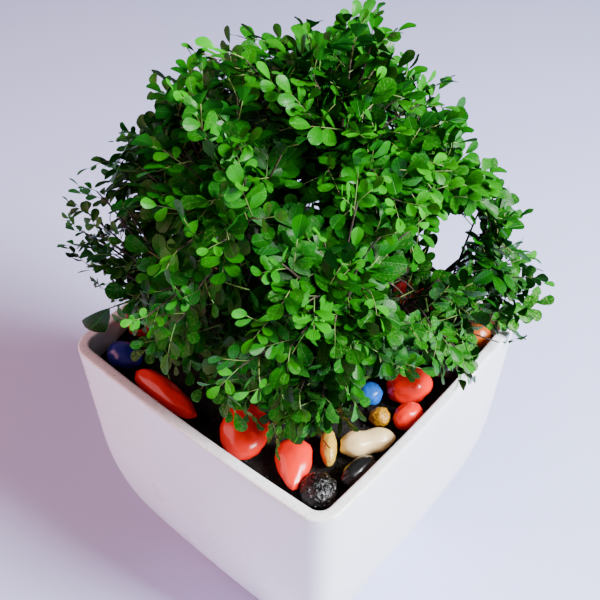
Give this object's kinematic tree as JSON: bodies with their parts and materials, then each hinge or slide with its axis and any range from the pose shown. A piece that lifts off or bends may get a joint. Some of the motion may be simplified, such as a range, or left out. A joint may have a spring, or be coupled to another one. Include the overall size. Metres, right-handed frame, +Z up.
{
  "type": "potted orange jasmine",
  "caption": "Dense dome of small-leaved stems in a square tapering pot, with smooth stones lying on the soil along its walls.",
  "frame": {"origin": "centre of the pot's foot, on the ground", "axes": "+Z up; the pot's four faces look along +X, -X, +Y and -Y; the picture was taken from the +X -Y corner"},
  "size_m": [0.2566, 0.2576, 0.4256],
  "materials": {
    "pot_glaze": "satin white",
    "soil": "damp dark crumbs",
    "stone_red": "dyed and polished",
    "stone_black": "dyed and polished",
    "stone_cream": "dyed and polished",
    "stone_ochre": "dyed and polished",
    "stone_blue": "dyed and polished",
    "stone_dark_blue": "dyed and polished",
    "stone_orange": "dyed and polished",
    "leaf": "waxy leaves on brown bark"
  },
  "bodies": {
    "root": {"pot": "pot_glaze", "soil": "soil", "pebble_dark_blue": "stone_dark_blue", "pebble_red_long": "stone_red", "pebble_red_egg": "stone_red", "pebble_red_pointed": "stone_red", "pebble_rough_black": "stone_black", "pebble_thin_yellow": "stone_ochre", "pebble_cream_waisted": "stone_cream", "pebble_smooth_black": "stone_black", "pebble_ochre": "stone_ochre", "pebble_bright_blue": "stone_blue", "pebble_red_upper": "stone_red", "pebble_red_lower": "stone_red", "pebble_orange": "stone_orange", "pebble_red_back": "stone_red", "pebble_red_wall": "stone_red", "pebble_black_right": "stone_black", "pebble_cream_back": "stone_cream", "pebble_black_back": "stone_black", "pebble_blue_back": "stone_blue", "pebble_red_far": "stone_red", "pebble_ochre_far": "stone_ochre", "pebble_black_far": "stone_black", "pebble_cream_far": "stone_cream", "pebble_red_side": "stone_red", "leafy_stem_01": "leaf", "leafy_stem_02": "leaf", "leafy_stem_03": "leaf", "leafy_stem_04": "leaf", "leafy_stem_05": "leaf", "leafy_stem_06": "leaf", "leafy_stem_07": "leaf", "leafy_stem_08": "leaf", "leafy_stem_09": "leaf", "leafy_stem_10": "leaf", "side_shoot": "leaf"}
  },
  "joints": []
}
